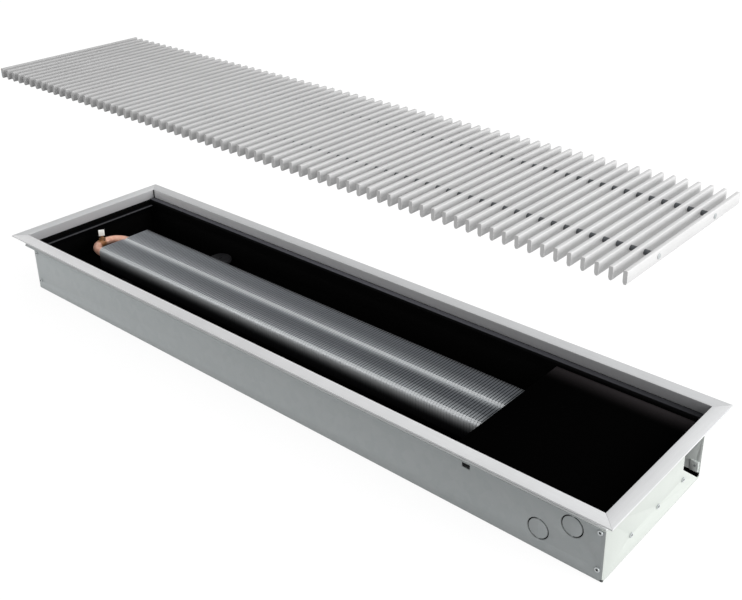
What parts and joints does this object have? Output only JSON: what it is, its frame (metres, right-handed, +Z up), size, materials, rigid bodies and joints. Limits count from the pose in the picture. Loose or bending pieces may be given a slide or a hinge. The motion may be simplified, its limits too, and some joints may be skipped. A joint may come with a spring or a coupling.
{
  "type": "trench convector heater",
  "caption": "Floor trench convector: sheet-steel trough with a frame, a hydronic fin-and-tube exchanger with side connections, a covered pipe chamber and a lift-out cross-bar grille.",
  "frame": {"origin": "middle of the trough underside, on the floor it stands on", "axes": "+X along the length towards the connection end, +Y across towards the rear wall, +Z up"},
  "size_m": [1.2, 0.31, 0.407],
  "materials": {
    "galvanised_sheet": "satin zinc outside, matt black paint on the trough inner faces",
    "black_painted_sheet": "satin black paint",
    "frame_aluminium": "silver anodised, satin",
    "grille_aluminium": "silver anodised, satin",
    "fin_aluminium": "mill finish, thin fins",
    "zinc_steel": "bright zinc",
    "rubber_strip": "matt",
    "foam_strip": "matt light grey foam",
    "black_plastic": "matt",
    "copper_tube": "plain drawn copper, satin",
    "brass_fitting": "satin",
    "white_plastic": "satin"
  },
  "bodies": {
    "trough": {"trough_shell": "galvanised_sheet", "left_end_wall": "galvanised_sheet", "right_end_wall": "galvanised_sheet", "end_rest_angles": "black_painted_sheet", "frame_front": "frame_aluminium", "frame_rear": "frame_aluminium", "frame_left": "frame_aluminium", "frame_right": "frame_aluminium", "frame_corner_keys": "zinc_steel", "frame_seal": "foam_strip", "grille_seat_strips": "rubber_strip", "fin_stack": "fin_aluminium", "exchanger_tubes": "copper_tube", "return_bend": "copper_tube", "left_exchanger_bracket": "galvanised_sheet", "right_exchanger_bracket": "galvanised_sheet", "bracket_screws": "zinc_steel", "flow_connector": "brass_fitting", "return_connector": "brass_fitting", "vent_body": "brass_fitting", "connection_cover": "black_painted_sheet", "cover_hooks": "black_painted_sheet", "end_wall_screws": "zinc_steel", "side_wall_screws": "zinc_steel", "levelling_nuts": "zinc_steel"},
    "grille": {"grille_bars": "grille_aluminium", "grille_tie_rods": "zinc_steel", "grille_spacers": "black_plastic", "grille_rod_rivets": "zinc_steel"},
    "vent_key_cap": {"vent_cap": "white_plastic"},
    "levelling_front_left": {"levelling_screw_front_left": "zinc_steel", "levelling_cap_front_left": "black_plastic"},
    "levelling_front_right": {"levelling_screw_front_right": "zinc_steel", "levelling_cap_front_right": "black_plastic"},
    "levelling_rear_left": {"levelling_screw_rear_left": "zinc_steel", "levelling_cap_rear_left": "black_plastic"},
    "levelling_rear_right": {"levelling_screw_rear_right": "zinc_steel", "levelling_cap_rear_right": "black_plastic"}
  },
  "joints": [
    {"name": "grille_lift", "type": "slide", "parent": "trough", "child": "grille", "axis": [0, 0, 1], "range_m": [-0.3, 0]},
    {"name": "vent_cap_turn", "type": "hinge", "parent": "trough", "child": "vent_key_cap", "pos_m": [-0.54772, -0.01104, 0.072], "axis": [0, 0, 1], "range_deg": [-90, 90]},
    {"name": "levelling_front_left_travel", "type": "slide", "parent": "trough", "child": "levelling_front_left", "axis": [0, 0, 1], "range_m": [-0.02, 0]},
    {"name": "levelling_front_right_travel", "type": "slide", "parent": "trough", "child": "levelling_front_right", "axis": [0, 0, 1], "range_m": [-0.02, 0]},
    {"name": "levelling_rear_left_travel", "type": "slide", "parent": "trough", "child": "levelling_rear_left", "axis": [0, 0, 1], "range_m": [-0.02, 0]},
    {"name": "levelling_rear_right_travel", "type": "slide", "parent": "trough", "child": "levelling_rear_right", "axis": [0, 0, 1], "range_m": [-0.02, 0]}
  ]
}
